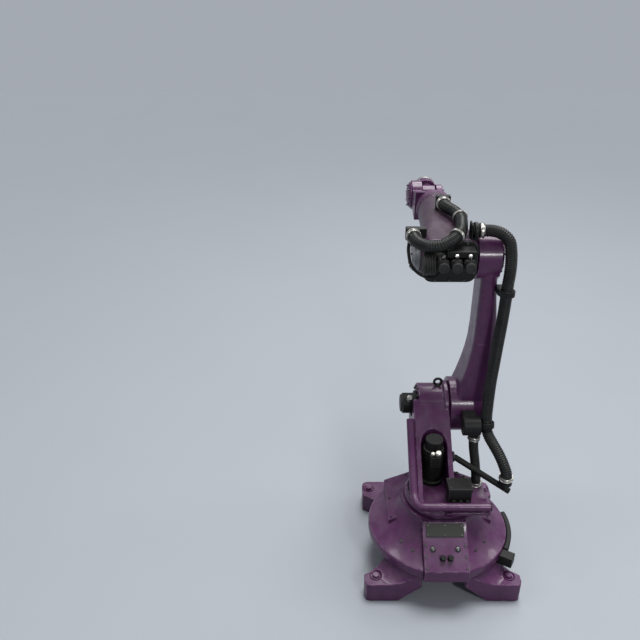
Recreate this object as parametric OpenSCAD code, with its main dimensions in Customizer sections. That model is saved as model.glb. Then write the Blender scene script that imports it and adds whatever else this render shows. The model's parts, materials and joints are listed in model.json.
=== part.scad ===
// Six-axis industrial robot arm with a hose pack, parked with its lower arm upright
// and its forearm level. The origin is where the slewing axis meets the floor.
// +Z is up, +Y is the way the forearm points and +X is the lower arm's side.

/* [Axes] */
// Height of the shoulder axis above the floor
shoulder_h = 775; // [760:1:800]
// Distance of the shoulder axis in front of the slewing axis
shoulder_y = 350; // [340:1:360]
// Length of the lower arm, shoulder axis to elbow axis
lower_arm_l = 890; // [860:1:930]
// Height of the forearm's roll axis above the elbow axis
elbow_rise = 35; // [25:1:45]
// Distance from the elbow axis to the wrist axis
forearm_l = 820; // [800:1:900]
// Distance from the wrist axis to the face of the tool flange
flange_l = 170; // [165:1:200]

/* [Base] */
// Half the width over the rear feet
foot_x = 405; // [395:1:430]
// Half the width over the front feet
foot_front_x = 382; // [378:1:395]
// Reach of the rear feet behind the slewing axis
foot_rear = 330; // [320:1:345]
// Reach of the front feet in front of the slewing axis
foot_front = 459; // [445:1:475]
// Thickness of a foot at its outer edge
foot_h = 118; // [105:1:130]
// Radius of the round deck
deck_r = 371; // [360:1:380]
// Height of the base up to the slewing bearing
base_h = 420; // [405:1:435]
// Half the width between the foot bolts, side to side
bolt_x = 345; // [335:1:355]
// Distance of the foot bolts from the front or rear edge of a foot
bolt_in = 62; // [55:1:70]
// Radius of a foot bolt hole
bolt_r = 13; // [11:0.5:16]

/* [Column] */
// Radius of the column's round foot
column_r = 185; // [180:1:195]
// Distance of the column's left face from the slewing axis
column_left = 134; // [128:1:145]
// Distance of the column's right face from the slewing axis
column_right = 57; // [50:1:62]
// Radius of the shoulder housing
shoulder_r = 112; // [105:1:125]
// Radius of the niche that the slewing motor stands in
niche_r = 68; // [64:1:72]
// Diameter of the guard rail's tube
rail_d = 42; // [36:1:48]

/* [Lower arm] */
// Radius of the lower arm's hub at the shoulder
hub_low_r = 148; // [140:1:155]
// Radius of the lower arm's hub at the elbow
hub_top_r = 122; // [115:1:130]
// Distance of the shoulder hub's outer face from the slewing axis
arm_out_low = 268; // [260:1:280]
// Distance of the elbow hub's inner face from the slewing axis
elbow_in = 123; // [121:1:130]
// Thickness of the elbow hub
elbow_w = 114; // [105:1:125]

/* [Forearm] */
// Half the width of the motor end of the forearm
housing_a = 130; // [125:1:135]
// Half the height of the motor end of the forearm
housing_b = 108; // [102:1:114]
// Radius of the forearm where the wrist begins
wrist_r = 92; // [86:1:98]
// Width across a wrist motor's flange
motor_w = 60; // [52:1:61]
// Length of a wrist motor
motor_l = 122; // [110:1:140]

/* [Tool flange] */
// Radius of the tool flange
flange_r = 62.5; // [60:0.5:68]
// Diameter of the tool flange's bolt circle
flange_pcd = 100; // [96:1:104]
// Radius of a tool bolt hole
flange_hole_r = 4; // [3:0.5:5]
// Radius of the tool flange's centring bore
centring_r = 31.5; // [28:0.5:36]

/* [Hose pack] */
// Diameter of the hose
hose_d = 60; // [50:1:62]
// Diameter of the feeder hose at the shoulder
feeder_d = 52; // [44:1:54]

/* [Clearances] */
// Gap between the faces of two bodies that turn on each other
gap = 5; // [5:0.5:6]
// Radial clearance of a shaft in its bearing
fit = 0.3; // [0.2:0.05:0.4]

/* [Hidden] */
$fn = 96;
elbow_z = shoulder_h + lower_arm_l;
roll_z = elbow_z + elbow_rise;
wrist_y = shoulder_y + forearm_l;
hose_r = hose_d / 2;
feeder_r = feeder_d / 2;

purple = "#5d3a66";
dark = "#2b2b29";
grey = "#73746f";
steel = "#9a9a98";
black = "#1d1f1d";

// Points of a rectangle with round corners, half sizes a and b, corner radius r
function round_rect(a, b, r, steps = 5) = [
  for (corner = [0:3], i = [0:steps])
    let (t = 90 * corner + 90 * i / steps,
         sx = (corner == 0 || corner == 3) ? 1 : -1,
         sy = corner < 2 ? 1 : -1)
      [sx * (a - r) + r * cos(t), sy * (b - r) + r * sin(t)]
];

// A share that runs smoothly from 0 at s0 to 1 at s1
function ease(s, s0, s1) = let (t = min(1, max(0, (s - s0) / (s1 - s0)))) t * t * (3 - 2 * t);

// A solid through rings that all have the same number of points
module skin(rings) {
  n = len(rings[0]);
  last = len(rings) - 1;
  polyhedron(
    points = [for (ring = rings) for (p = ring) p],
    faces = concat(
      [[for (i = [0:n - 1]) i]],
      [for (k = [0:last - 1], i = [0:n - 1])
        [k * n + i, (k + 1) * n + i, (k + 1) * n + (i + 1) % n, k * n + (i + 1) % n]],
      [[for (i = [n - 1:-1:0]) last * n + i]]
    ),
    convexity = 6
  );
}

// A tube of radius r swept along hand-picked points, with one ring at each point
function unit(v) = v / norm(v);
function heading(route, i) =
  unit(route[min(i + 1, len(route) - 1)] - route[max(i - 1, 0)]);
function side_of(route, i) =
  i == 0 ? unit(cross(heading(route, 0), [0.31, 0.17, 0.93]))
  : let (before = side_of(route, i - 1), h = heading(route, i)) unit(before - h * (before * h));
module swept_tube(route, r, sides = 10) {
  skin([
    for (i = [len(route) - 1:-1:0])
      let (u = side_of(route, i), v = cross(heading(route, i), u))
        [for (k = [0:sides - 1]) route[i] + r * (u * cos(360 * k / sides) + v * sin(360 * k / sides))]
  ]);
}

// A shape drawn in the Y-Z plane and carried along X from x0 to x1
module along_x(x0, x1) {
  translate([x0, 0, 0]) rotate([90, 0, 90]) linear_extrude(height = x1 - x0) children();
}

// A shape drawn in the X-Z plane and carried along Y from y0 to y1
module along_y(y0, y1) {
  translate([0, y1, 0]) rotate([90, 0, 0]) linear_extrude(height = y1 - y0) children();
}

// A cylinder along X, centred at y and z
module shaft_x(x0, x1, y, z, r) {
  translate([x0, y, z]) rotate([0, 90, 0]) cylinder(h = x1 - x0, r = r);
}

// A cylinder along Y, centred at x and z
module shaft_y(y0, y1, x, z, r) {
  translate([x, y1, z]) rotate([90, 0, 0]) cylinder(h = y1 - y0, r = r);
}

// Base: a round bell on four feet, bolted to the floor
stand_r = 205;
arch_h = 95;
arch_in = 119;
arch_out = 232;
slew_shaft_r = 120;
slew_shaft_l = 64;
deck_low = 186;
deck_high = 246;
deck_in = deck_r - 14;
bell_r = 200;
neck_z = base_h - 28;
under_deck = deck_low - 4;
spot_r = 30;
cover_w = 113;
cover_back = -deck_r - 5;
cover_low = deck_low + 4;
cover_edge = deck_high + 14;
cover_top = base_h - 3;
cover_neck = -bell_r + 12;
cover_knee = [cover_neck - 52, cover_top - 63];
foot_end_rear = 71;
foot_end_front = 120;
foot_run = 255;
foot_rise = 160;
spot_depth = 6;

// Point i of the bell's hollow flank
flank_steps = 8;
flank_bow = 0.42;
function flank(i) = let (t = i / flank_steps) [
  deck_in + (bell_r - deck_in) * ((1 - flank_bow) * t + flank_bow * sin(90 * t)),
  deck_high + (neck_z - deck_high) * ((1 - flank_bow) * t + flank_bow * (1 - cos(90 * t)))
];

module bell_profile() {
  polygon(concat(
    [[0, 0], [stand_r, 0], [stand_r, arch_h - 20], [285, arch_h], [305, arch_h + 20], [312, deck_low - 18],
     [deck_r - 8, deck_low], [deck_r, deck_low + 10], [deck_r, deck_high - 14],
     [deck_r - 4, deck_high - 4]],
    [for (i = [0:flank_steps]) flank(i)],
    [[bell_r, base_h], [0, base_h]]
  ));
}

// A foot's outline: a short outer end, and an edge that runs back under the deck
module foot_plan(half, reach, end_l) {
  polygon([[100, 60], [arch_in - 9, reach - 8], [arch_in, reach], [half - 30, reach], [half - 8, reach - 8],
           [half, reach - 30], [half, reach - end_l], [half - foot_run, reach - end_l - foot_rise]]);
}

module foot_slope() {
  polygon([[stand_r - 25, 0], [640, 0], [640, foot_h - 4], [deck_r + 59, foot_h], [deck_r + 24, foot_h + 14],
           [deck_r - 26, under_deck], [stand_r - 25, under_deck]]);
}

// The room under the bell between two feet
module arch() {
  polygon([[-arch_out, -1], [-arch_in, arch_h], [arch_in, arch_h], [arch_out, -1]]);
}

module connector_volume() {
  along_x(-cover_w, cover_w)
    polygon([[-stand_r, cover_low], [-stand_r, cover_top - 40], [cover_neck + 30, cover_top],
             [cover_neck, cover_top], cover_knee, [cover_back, cover_edge], [cover_back, cover_low]]);
}

// The room above the connector cover, which the bell keeps out of
module above_connector() {
  high = 2 * base_h;
  along_x(-cover_w, cover_w)
    polygon([[cover_back, cover_edge], cover_knee, [cover_neck, cover_knee[1]], [cover_neck, high],
             [cover_back, high]]);
}

module base_frame() {
  color(purple) difference() {
    union() {
      rotate_extrude() bell_profile();
      difference() {
        for (sx = [0, 1], sy = [0, 1])
          mirror([sx, 0, 0]) mirror([0, sy, 0])
            intersection() {
              linear_extrude(height = under_deck)
                if (sy == 0) foot_plan(foot_front_x, foot_front, foot_end_front);
                else foot_plan(foot_x, foot_rear, foot_end_rear);
              rotate_extrude() foot_slope();
            }
        along_y(stand_r + 1, foot_front + 1) arch();
        along_y(-foot_rear - 1, -stand_r - 1) arch();
      }
    }
    connector_volume();
    above_connector();
    translate([0, 0, base_h - slew_shaft_l - 1])
      cylinder(h = slew_shaft_l + 2, r = slew_shaft_r + fit);
    for (sx = [-1, 1], y = [-foot_rear + bolt_in, foot_front - bolt_in])
      translate([sx * bolt_x, y, 0]) {
        translate([0, 0, -1]) cylinder(h = 300, r = bolt_r);
        translate([0, 0, foot_h - spot_depth]) cylinder(h = 200, r = spot_r);
      }
  }
}

// Deck panels: raised covers on both sides of the bell, with a top that falls away outwards
bell_h = base_h - deck_high;
panel_in = [122, deck_high + bell_h * 23 / 29];
panel_out = [deck_r * 272 / 371, deck_high + bell_h * 12 / 29];
panel_rear = -75;
panel_front = deck_r * 242 / 371;
module deck_panels() {
  foot = deck_high - 10;
  color(purple) for (side = [0, 1])
    mirror([side, 0, 0]) difference() {
      along_y(panel_rear, panel_front)
        polygon([[panel_in[0], foot], [panel_out[0], foot], panel_out, panel_in]);
      base_frame();
    }
}

module connector_cover() {
  color(purple) connector_volume();
}

// A place on the upper or the lower slope of the connector cover, by its distance up the slope
upper_slope = atan2(cover_top - cover_knee[1], cover_neck - cover_knee[0]);
lower_slope = atan2(cover_knee[1] - cover_edge, cover_knee[0] - cover_back);
module on_upper(along) {
  translate([0, cover_knee[0], cover_knee[1]]) rotate([upper_slope, 0, 0])
    translate([0, along, 0]) children();
}
module on_lower(along) {
  translate([0, cover_back, cover_edge]) rotate([lower_slope, 0, 0]) translate([0, along, 0]) children();
}

plate_w = 192;
plate_l = 66;
plate_up = 7;
plate_t = 5;
gland_r = 13;
gland_x = 19;
gland_at = 66;
gland_l = 34;

module cover_plate() {
  color(grey) on_upper(plate_up) translate([-plate_w / 2, 0, 0]) cube([plate_w, plate_l, plate_t]);
}

module cable_glands() {
  color(black) for (side = [-1, 1])
    on_lower(gland_at) translate([side * gland_x, 0, 0]) {
      cylinder(h = gland_l / 3, r = gland_r + 4, $fn = 6);
      cylinder(h = gland_l, r = gland_r);
    }
}

// Supply duct: a channel round the right edge of the deck that ends in a block
duct_w = 26;
duct_low = deck_low + 16;
duct_high = deck_high - 10;
duct_from = -30;
duct_to = 12;
module supply_duct() {
  far = 2 * deck_r;
  color(black) intersection() {
    translate([0, 0, duct_low]) difference() {
      cylinder(h = duct_high - duct_low, r = deck_r + duct_w);
      translate([0, 0, -1]) cylinder(h = duct_high, r = deck_r + fit);
    }
    linear_extrude(height = base_h)
      polygon([[0, 0], far * [cos(duct_from), sin(duct_from)], [far, 0], far * [cos(duct_to), sin(duct_to)]]);
  }
}

block_l = 56;
block_w = 90;
module supply_block() {
  color(black) difference() {
    rotate([0, 0, duct_from]) translate([deck_r - 24, -block_l, duct_low - 34])
      cube([block_w, block_l, duct_high - duct_low + 26]);
    base_frame();
  }
}

// Column: a casting that turns on the base and carries the shoulder
column_z = base_h + gap;
flange_top = column_z + 40;
column_back = -150;
cheek_low = flange_top + 37;
cheek_y = shoulder_y - 0.68 * shoulder_r;
cheek_z = shoulder_h + 0.68 * shoulder_r;
niche_x = -38;
niche_y = 82;
notch_y = -55;
hub_left = 104;
gear_r = shoulder_r + 16;
gear_w = 26;
shoulder_shaft_r = 80;
shoulder_shaft_l = 78;
shelf_x = 232;
shelf_back = -186;
shelf_l = 248;
shelf_t = 8;
rail_y = column_back - rail_d / 2 - fit;
rail_rise = 35;
rail_end = 228;
post_in = 34;
motor_seat_r = 74;

// Places fixed to the shelf, the shoulder, the lower arm, the elbow and the forearm's top
function on_shelf(p) = [p[0], p[1], flange_top + p[2]];
function at_shoulder(p) = [p[0], shoulder_y + p[1], shoulder_h + p[2]];
function on_arm(x, y, s) = [x, shoulder_y + y, shoulder_h + s * lower_arm_l];
function at_elbow(p) = [p[0], shoulder_y + p[1], elbow_z + p[2]];
function on_housing(p) = [p[0], shoulder_y + p[1], housing_top + p[2]];

// A point along the sloping rear edge of the column's cheeks
function cheek(x, t) = [x, column_back + t * (cheek_y - column_back), cheek_low + t * (cheek_z - cheek_low)];

module column_side() {
  polygon([[column_back, flange_top - 8], [column_back, cheek_low], [cheek_y, cheek_z],
           [shoulder_y, shoulder_h], [shoulder_y + 0.8 * shoulder_r, shoulder_h - 0.5 * shoulder_r],
           [shoulder_y - 60, flange_top + 50], [column_r - 25, flange_top - 8]]);
}

module column_casting() {
  color(purple) difference() {
    union() {
      rotate_extrude()
        polygon([[0, column_z], [column_r - 6, column_z], [column_r, column_z + 6],
                 [column_r, flange_top - 10], [column_r - 10, flange_top], [0, flange_top]]);
      translate([0, 0, column_z - slew_shaft_l]) cylinder(h = slew_shaft_l + 5, r = slew_shaft_r);
      difference() {
        along_x(-column_left, column_right) column_side();
        shaft_x(-column_left - 1, -hub_left, shoulder_y, shoulder_h, motor_seat_r);
        translate([niche_x + niche_r - 1, column_back - 1, flange_top + shelf_t])
          cube([column_left + column_right, notch_y - column_back, shoulder_h]);
      }
      shaft_x(-hub_left, column_right, shoulder_y, shoulder_h, shoulder_r);
      shaft_x(column_right - gear_w, column_right, shoulder_y, shoulder_h, gear_r);
      translate([0, shelf_back, flange_top - 12]) cube([shelf_x, shelf_l, 12 + shelf_t]);
      translate([shelf_x - post_in, rail_y, flange_top]) cylinder(h = rail_rise - rail_d / 2 - fit, r = 12);
    }
    translate([niche_x, niche_y, flange_top]) cylinder(h = shoulder_h, r = niche_r);
    translate([niche_x - niche_r, niche_y - 400, flange_top]) cube([2 * niche_r, 400, shoulder_h]);
    shaft_x(column_right - shoulder_shaft_l - 1, column_right + 1, shoulder_y, shoulder_h,
            shoulder_shaft_r + fit);
  }
}

rail_x = -column_left - rail_d / 2 - fit;
rail_route = [
  cheek(rail_x, 0.8), cheek(rail_x, 0.52), cheek(rail_x, 0.26), cheek(rail_x, 0.11),
  on_shelf([rail_x + 1, -138, 66]), on_shelf([rail_x + 6, -158, 52]), on_shelf([rail_x + 24, rail_y - 1, 42]),
  on_shelf([rail_x + 52, rail_y, rail_rise]),
  on_shelf([-40, rail_y, rail_rise]), on_shelf([90, rail_y, rail_rise]),
  on_shelf([rail_end, rail_y, rail_rise])
];
module guard_rail() {
  color(purple) swept_tube(rail_route, rail_d / 2, 16);
}

module guard_rail_cap() {
  color(black) shaft_x(rail_end, rail_end + 6, rail_y, flange_top + rail_rise, rail_d / 2);
}

slew_motor_r = 54;
slew_motor_l = 272;
module slew_motor() {
  color(dark) translate([niche_x, niche_y, flange_top]) {
    cylinder(h = 22, r = niche_r - gap);
    cylinder(h = slew_motor_l - 56, r = slew_motor_r);
    cylinder(h = slew_motor_l, r = slew_motor_r - 8);
    translate([-26, -slew_motor_r - 34, slew_motor_l - 120]) cube([52, 50, 62]);
  }
}

shoulder_motor_l = 90;
module shoulder_motor() {
  left = -hub_left;
  color(black) {
    shaft_x(left - 16, left, shoulder_y, shoulder_h, motor_seat_r - gap);
    shaft_x(left - shoulder_motor_l + 10, left, shoulder_y, shoulder_h, 56);
    shaft_x(left - shoulder_motor_l, left, shoulder_y, shoulder_h, 48);
  }
}

eye_r = 20;
eye_x = 4;
eye_wire = 7;
module lifting_eye() {
  color(dark) difference() {
    union() {
      translate([eye_x, shoulder_y, shoulder_h + shoulder_r + eye_r + eye_wire]) rotate([90, 0, 0])
        rotate_extrude() translate([eye_r, 0]) circle(r = eye_wire, $fn = 24);
      translate([eye_x, shoulder_y, shoulder_h + shoulder_r - 10])
        cylinder(h = 10 + eye_wire, r = 2 * eye_wire);
    }
    column_casting();
  }
}

box_x = niche_x + niche_r - 12;
box_w = 116;
box_l = 84;
box_h = 106;
module junction_box() {
  color(dark) translate([box_x, notch_y - gap - box_l, flange_top + shelf_t]) {
    cube([box_w, box_l, box_h]);
    translate([-4, -4, box_h]) cube([box_w + 8, box_l + 8, 14]);
  }
}

// Hose bracket: a slanting strut from the column's right face, with a collar for the hose near its end
bracket_r = 16;
bracket_flange = 12;
collar_h = 30;
bracket_from = on_shelf([column_right + bracket_flange, 60, 170]);
bracket_to = on_shelf([348, -60, 40]);
module hose_bracket() {
  start = route_low[0];
  run = bracket_to - bracket_from;
  post_z = bracket_from[2] + run[2] * (start[0] - bracket_from[0]) / run[0];
  color(dark) {
    shaft_x(column_right, bracket_from[0], bracket_from[1], bracket_from[2], 2 * bracket_r - 4);
    along_hose(bracket_from, bracket_to) cylinder(h = norm(run), r = bracket_r, center = true);
    translate([start[0], start[1], post_z]) cylinder(h = start[2] - post_z - collar_h + 1, r = bracket_r + 4);
    translate([start[0], start[1], start[2] - collar_h]) cylinder(h = collar_h - fit, r = hose_r + 4);
  }
}

// Lower arm: a curved casting between the shoulder hub and the elbow hub
arm_in = column_right + gap;
arm_top_in = elbow_in + 31;
arm_out_top = elbow_in + elbow_w;
elbow_shaft_r = 70;
elbow_shaft_l = 78;
arm_depth = 96;
arm_flare = 26;
arm_corner = 34;
arm_shares = [0.02, 0.07, 0.11, 0.15, 0.19, 0.24, 0.3, 0.37, 0.45, 0.55, 0.66, 0.77, 0.87, 0.985];

// Section of the lower arm at share s of its length: inner face, outer face, half depth
function arm_section(s) = [
  arm_in + 6 + (arm_top_in - arm_in - 6) * sin(90 * min(1, max(0, 2 * s - 0.08))),
  arm_out_low - 2 - (arm_out_low - arm_out_top) * ease(s, 0.5, 0.92),
  arm_depth + arm_flare * (1 - sin(90 * min(1, 1.8 * s)))
];
function arm_ring(s) = let (c = arm_section(s)) [
  for (p = round_rect((c[1] - c[0]) / 2, c[2], arm_corner)) [
    (c[0] + c[1]) / 2 + p[0], shoulder_y + p[1], shoulder_h + s * lower_arm_l]
];

module lower_arm() {
  color(purple) difference() {
    union() {
      skin([for (s = arm_shares) arm_ring(s)]);
      shaft_x(arm_in, arm_out_low, shoulder_y, shoulder_h, hub_low_r);
      shaft_x(column_right - shoulder_shaft_l, arm_in + 4, shoulder_y, shoulder_h, shoulder_shaft_r);
      shaft_x(elbow_in, arm_out_top, shoulder_y, elbow_z, hub_top_r);
    }
    shaft_x(elbow_in - 1, elbow_in + elbow_shaft_l + 1, shoulder_y, elbow_z, elbow_shaft_r + fit);
    translate([0, shoulder_y, shoulder_h + 0.47 * lower_arm_l]) along_x(arm_out_low - 18, arm_out_low + 1)
      polygon(round_rect(arm_depth - 40, 0.22 * lower_arm_l, 40));
  }
}

cap_t = 14;
module shoulder_cap() {
  color(purple) shaft_x(arm_out_low, arm_out_low + cap_t, shoulder_y, shoulder_h, hub_low_r - 34);
}

module elbow_cap() {
  color(purple) shaft_x(arm_out_top, arm_out_top + cap_t, shoulder_y, elbow_z, hub_top_r - 28);
}

// Forearm: a housing that turns on the elbow shaft and carries the wrist motors
housing_x = elbow_in - gap - housing_a - 2;
housing_back = shoulder_y - 115;
housing_z = roll_z - 22;
housing_top = housing_z + housing_b;
plate_back = housing_back - 18;
roll_y = wrist_y - 250;
roll_shaft_r = 60;
arm_boss_r = 106;
drive_left = -150;

// Hose pack: the routes' points are picked by hand, and a clamp holds the straight between two of them
clamp_x = 108;
clamp_out = 198;
clamp_r = 52;
clamp_mid = [-236, 22];
low_clamp = [at_shoulder([232, -246, 9]), at_shoulder([230, -234, 55])];
top_clamp = [on_arm(268, -147, 0.815), on_arm(269, -144, 0.865)];
rear_clamp = [on_housing([elbow_in - gap - 6, -88, 36]), on_housing([elbow_in - gap - 34, -88, 36])];
socket_at = on_housing([-188, -40, -8]);
socket_low = 26;
bulkhead_at = on_housing([0, 280, 46]);
function past(clamp, far = fit) = clamp[1] + far * unit(clamp[1] - clamp[0]);
route_low = [
  on_shelf([322, -54, 117]), on_shelf([322, -54, 143]), on_shelf([309, -34, 185]), on_shelf([288, 0, 227]),
  at_shoulder([262, -306, -47]), at_shoulder([242, -270, -19]), low_clamp[0], low_clamp[1]
];
route_feeder = [
  on_shelf([192, 34, shelf_t + fit]), on_shelf([192, 34, 38]), on_shelf([190, 48, 80]),
  on_shelf([185, 80, 138]), at_shoulder([178, -244, -115]), at_shoulder([175, clamp_mid[0], -67]),
  at_shoulder([175, clamp_mid[0], clamp_mid[1] - clamp_r - fit])
];
route_mid = [
  past(low_clamp), past(low_clamp, 24), on_arm(231, -218, 0.13), on_arm(235, -200, 0.21),
  on_arm(240, -184, 0.3),
  on_arm(247, -174, 0.41), on_arm(252, -169, 0.51), on_arm(260, -160, 0.635), on_arm(266, -151, 0.755),
  top_clamp[0], top_clamp[1]
];
route_top = [
  past(top_clamp), past(top_clamp, 20), at_elbow([272, -139, -75]), at_elbow([275, -130, -5]),
  at_elbow([271, -118, 59]), at_elbow([258, -108, 111]), on_housing([222, -94, 22]),
  on_housing([184, -89, 34]), on_housing([150, -88, 36]),
  rear_clamp[0], rear_clamp[1]
];
route_loop = [
  bulkhead_at - [0, fit, 0], bulkhead_at - [0, 26, 0], on_housing([12, 220, 44]), on_housing([36, 168, 42]),
  on_housing([51, 112, 40]), on_housing([53, 42, 37]),
  on_housing([42, -30, 36]), on_housing([28, -94, 35]), on_housing([4, -142, 31]),
  on_housing([-34, -180, 18]), on_housing([-80, -196, 2]), on_housing([-124, -184, -8]),
  on_housing([-158, -154, -10]),
  on_housing([-180, -112, -9]), socket_at - [0, 30, 0], socket_at - [0, fit, 0]
];
route_cable = [
  socket_at + [-16, 20, -socket_low - fit], socket_at + [-16, 20, -socket_low - 20],
  at_elbow([-208, -38, 46]), at_elbow([-207, -68, 20]), at_elbow([-200, -100, -10]),
  at_elbow([-174, -130, -37]), at_elbow([-140, -160, -48]), at_elbow([-108, -186, -44]),
  at_elbow([-78, -200, -22]), at_elbow([-66, -202, 9])
];

module hose_low() { color(black) swept_tube(route_low, hose_r); }
module feeder_hose() { color(black) swept_tube(route_feeder, feeder_r); }
module hose_mid() { color(black) swept_tube(route_mid, hose_r); }
module hose_top() { color(black) swept_tube(route_top, hose_r); }
module hose_loop() { color(black) swept_tube(route_loop, hose_r); }

// A place on the straight from p to q, with local Z along it and the origin in its middle
module along_hose(p, q) {
  step = q - p;
  translate((p + q) / 2) rotate([0, acos(step[2] / norm(step)), atan2(step[1], step[0])]) children();
}

// A ring round the hose between p and q, joined to the bracket given as children
clamp_wall = 10;
module hose_clamp(p, q) {
  difference() {
    union() {
      along_hose(p, q) cylinder(h = 0.66 * norm(q - p), r = hose_r + clamp_wall, center = true);
      children();
    }
    along_hose(p, q) cylinder(h = 3 * norm(q - p), r = hose_r + 2 * fit, center = true);
  }
}

module hose_clamp_low() {
  mid = at_shoulder([0, clamp_mid[0], clamp_mid[1]]);
  color(dark) difference() {
    hose_clamp(low_clamp[0], low_clamp[1]) {
      shaft_x(clamp_x, clamp_out, mid[1], mid[2], clamp_r);
      translate([clamp_x + 10, mid[1], mid[2] - 30]) cube([70, shoulder_y - mid[1], 60]);
    }
    lower_arm();
  }
}

module hose_clamp_top() {
  mid = (top_clamp[0] + top_clamp[1]) / 2;
  color(dark) difference() {
    hose_clamp(top_clamp[0], top_clamp[1])
      translate([mid[0] - 44, mid[1], mid[2] - 14]) cube([34, 70, 28]);
    lower_arm();
  }
}

function housing_ring(y, x, z, a, b, r) =
  [for (p = round_rect(a, b, r)) [x + p[0], y, z - p[1]]];

module forearm_housing() {
  color(purple) difference() {
    union() {
      skin([
        housing_ring(housing_back, housing_x, housing_z, housing_a, housing_b, 46),
        housing_ring(shoulder_y + 20, housing_x, housing_z, housing_a - 2, housing_b, 50),
        housing_ring(shoulder_y + 130, housing_x + 4, housing_z + 8, housing_a - 14, housing_b - 4, 62),
        housing_ring(shoulder_y + 270, 0, roll_z, wrist_r + 12, wrist_r + 2, 78),
        housing_ring(roll_y - 60, 0, roll_z, wrist_r + 2, wrist_r + 1, wrist_r - 6),
        housing_ring(roll_y - 12, 0, roll_z, wrist_r - 2, wrist_r - 2, wrist_r - 8)
      ]);
      shaft_x(0, elbow_in - gap, shoulder_y, elbow_z, arm_boss_r);
      shaft_x(elbow_in - gap - 2, elbow_in + elbow_shaft_l, shoulder_y, elbow_z, elbow_shaft_r);
      shaft_x(drive_left, 0, shoulder_y, elbow_z, arm_boss_r);
      shaft_y(roll_y - 40, roll_y, 0, roll_z, wrist_r + 6);
    }
    shaft_y(roll_y - 61, roll_y + 1, 0, roll_z, roll_shaft_r + fit);
  }
}

module motor_plate() {
  color(dark) translate([housing_x, housing_back, housing_z]) rotate([90, 0, 0])
    linear_extrude(height = housing_back - plate_back) polygon(round_rect(housing_a - 3, housing_b - 3, 43));
}

// A servo motor that points along -Y: flange, body, end cap
motor_x = -4;
motor_step = 62;
module servo_motor(x) {
  translate([x, plate_back, roll_z]) rotate([90, 0, 0]) {
    linear_extrude(height = 12) polygon(round_rect(motor_w / 2, motor_w / 2, 8));
    linear_extrude(height = motor_l - 30) polygon(round_rect(motor_w / 2 - 2, motor_w / 2 - 2, 14));
    cylinder(h = motor_l, r = motor_w / 2 - 4);
  }
}

module roll_motor() { color(dark) servo_motor(motor_x + motor_step); }
module bend_motor() { color(dark) servo_motor(motor_x - motor_step); }
module turn_motor() { color(dark) servo_motor(motor_x); }

module motor_connector() {
  color(black) translate([motor_x - 46, plate_back - 78, roll_z + motor_w / 2 + 2]) cube([138, 78, 32]);
}

elbow_motor_r = 50;
elbow_motor_x = -100;
elbow_motor_l = 58;
fins = 5;
module elbow_motor() {
  mid = at_elbow([0, -190, 25]);
  pitch = elbow_motor_l / fins;
  color(dark) {
    shaft_x(elbow_motor_x - elbow_motor_l, elbow_motor_x, mid[1], mid[2], elbow_motor_r - 6);
    for (i = [0:fins - 1])
      let (fin = elbow_motor_x - i * pitch)
        shaft_x(fin - 0.7 * pitch, fin - 0.2 * pitch, mid[1], mid[2], elbow_motor_r);
    translate([elbow_motor_x - 38, mid[1], mid[2] - 20]) cube([30, plate_back - mid[1], 40]);
  }
}

drive_cap_r = 84;
drive_l = 40;
module elbow_drive() {
  color(grey) {
    shaft_x(drive_left - drive_l + 8, drive_left, shoulder_y, elbow_z, drive_cap_r);
    shaft_x(drive_left - drive_l, drive_left, shoulder_y, elbow_z, drive_cap_r - 8);
  }
}

holder_l = 10;
module hose_holder_rear() {
  end = rear_clamp[1];
  color(dark) difference() {
    union() {
      hose_clamp(rear_clamp[0], rear_clamp[1])
        translate([end[0], end[1] - 20, housing_top - 20]) cube([26, 40, 30]);
      translate([end[0] - holder_l, end[1] - 26, housing_top - 20]) cube([holder_l, 64, 92]);
    }
    forearm_housing();
  }
}

module hose_bulkhead() {
  color(dark) difference() {
    translate([bulkhead_at[0] - 38, bulkhead_at[1], housing_top - 60]) cube([76, 34, 142]);
    forearm_housing();
  }
}

module hose_socket() {
  color(dark) difference() {
    translate([socket_at[0] - 36, socket_at[1], socket_at[2] - socket_low]) cube([100, 36, socket_low + 34]);
    forearm_housing();
  }
}

cable_r = 8;
module motor_cable() {
  color(black) difference() {
    swept_tube(route_cable, cable_r, 8);
    bend_motor();
  }
}

// Wrist: a fork that rolls, a hand that bends, a flange that turns
fork_y = roll_y + gap;
hand_half = 38;
drive_x = 112;
drive_r = 84;
bearing_x = 86;
bearing_r = 60;
hand_r = 56;
bend_shaft_r = 30;
turn_shaft_r = 34;
fork_waist = 50;

module fork_arm(root) {
  polygon([[fork_y + 40, roll_z - root], [fork_y + 60, roll_z - root],
           [wrist_y - drive_r, roll_z - fork_waist], [wrist_y, roll_z - fork_waist],
           [wrist_y, roll_z + fork_waist], [wrist_y - drive_r, roll_z + fork_waist],
           [fork_y + 60, roll_z + root], [fork_y + 40, roll_z + root]]);
}

module wrist_fork() {
  left = -drive_x + 12;
  right = bearing_x - 10;
  inner = hand_half + gap;
  color(purple) difference() {
    union() {
      shaft_y(fork_y, fork_y + 60, 0, roll_z, wrist_r);
      shaft_y(fork_y - gap - 55, fork_y + 5, 0, roll_z, roll_shaft_r);
      along_x(left, -inner) fork_arm(wrist_r - 10);
      shaft_x(left, -inner, wrist_y, roll_z, drive_r);
      along_x(inner, right) fork_arm(wrist_r - 22);
      shaft_x(inner, right, wrist_y, roll_z, bearing_r);
    }
    shaft_x(-inner - 30, -inner + 1, wrist_y, roll_z, bend_shaft_r + fit);
    shaft_x(inner - 1, inner + 26, wrist_y, roll_z, bend_shaft_r + fit);
  }
}

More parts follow.
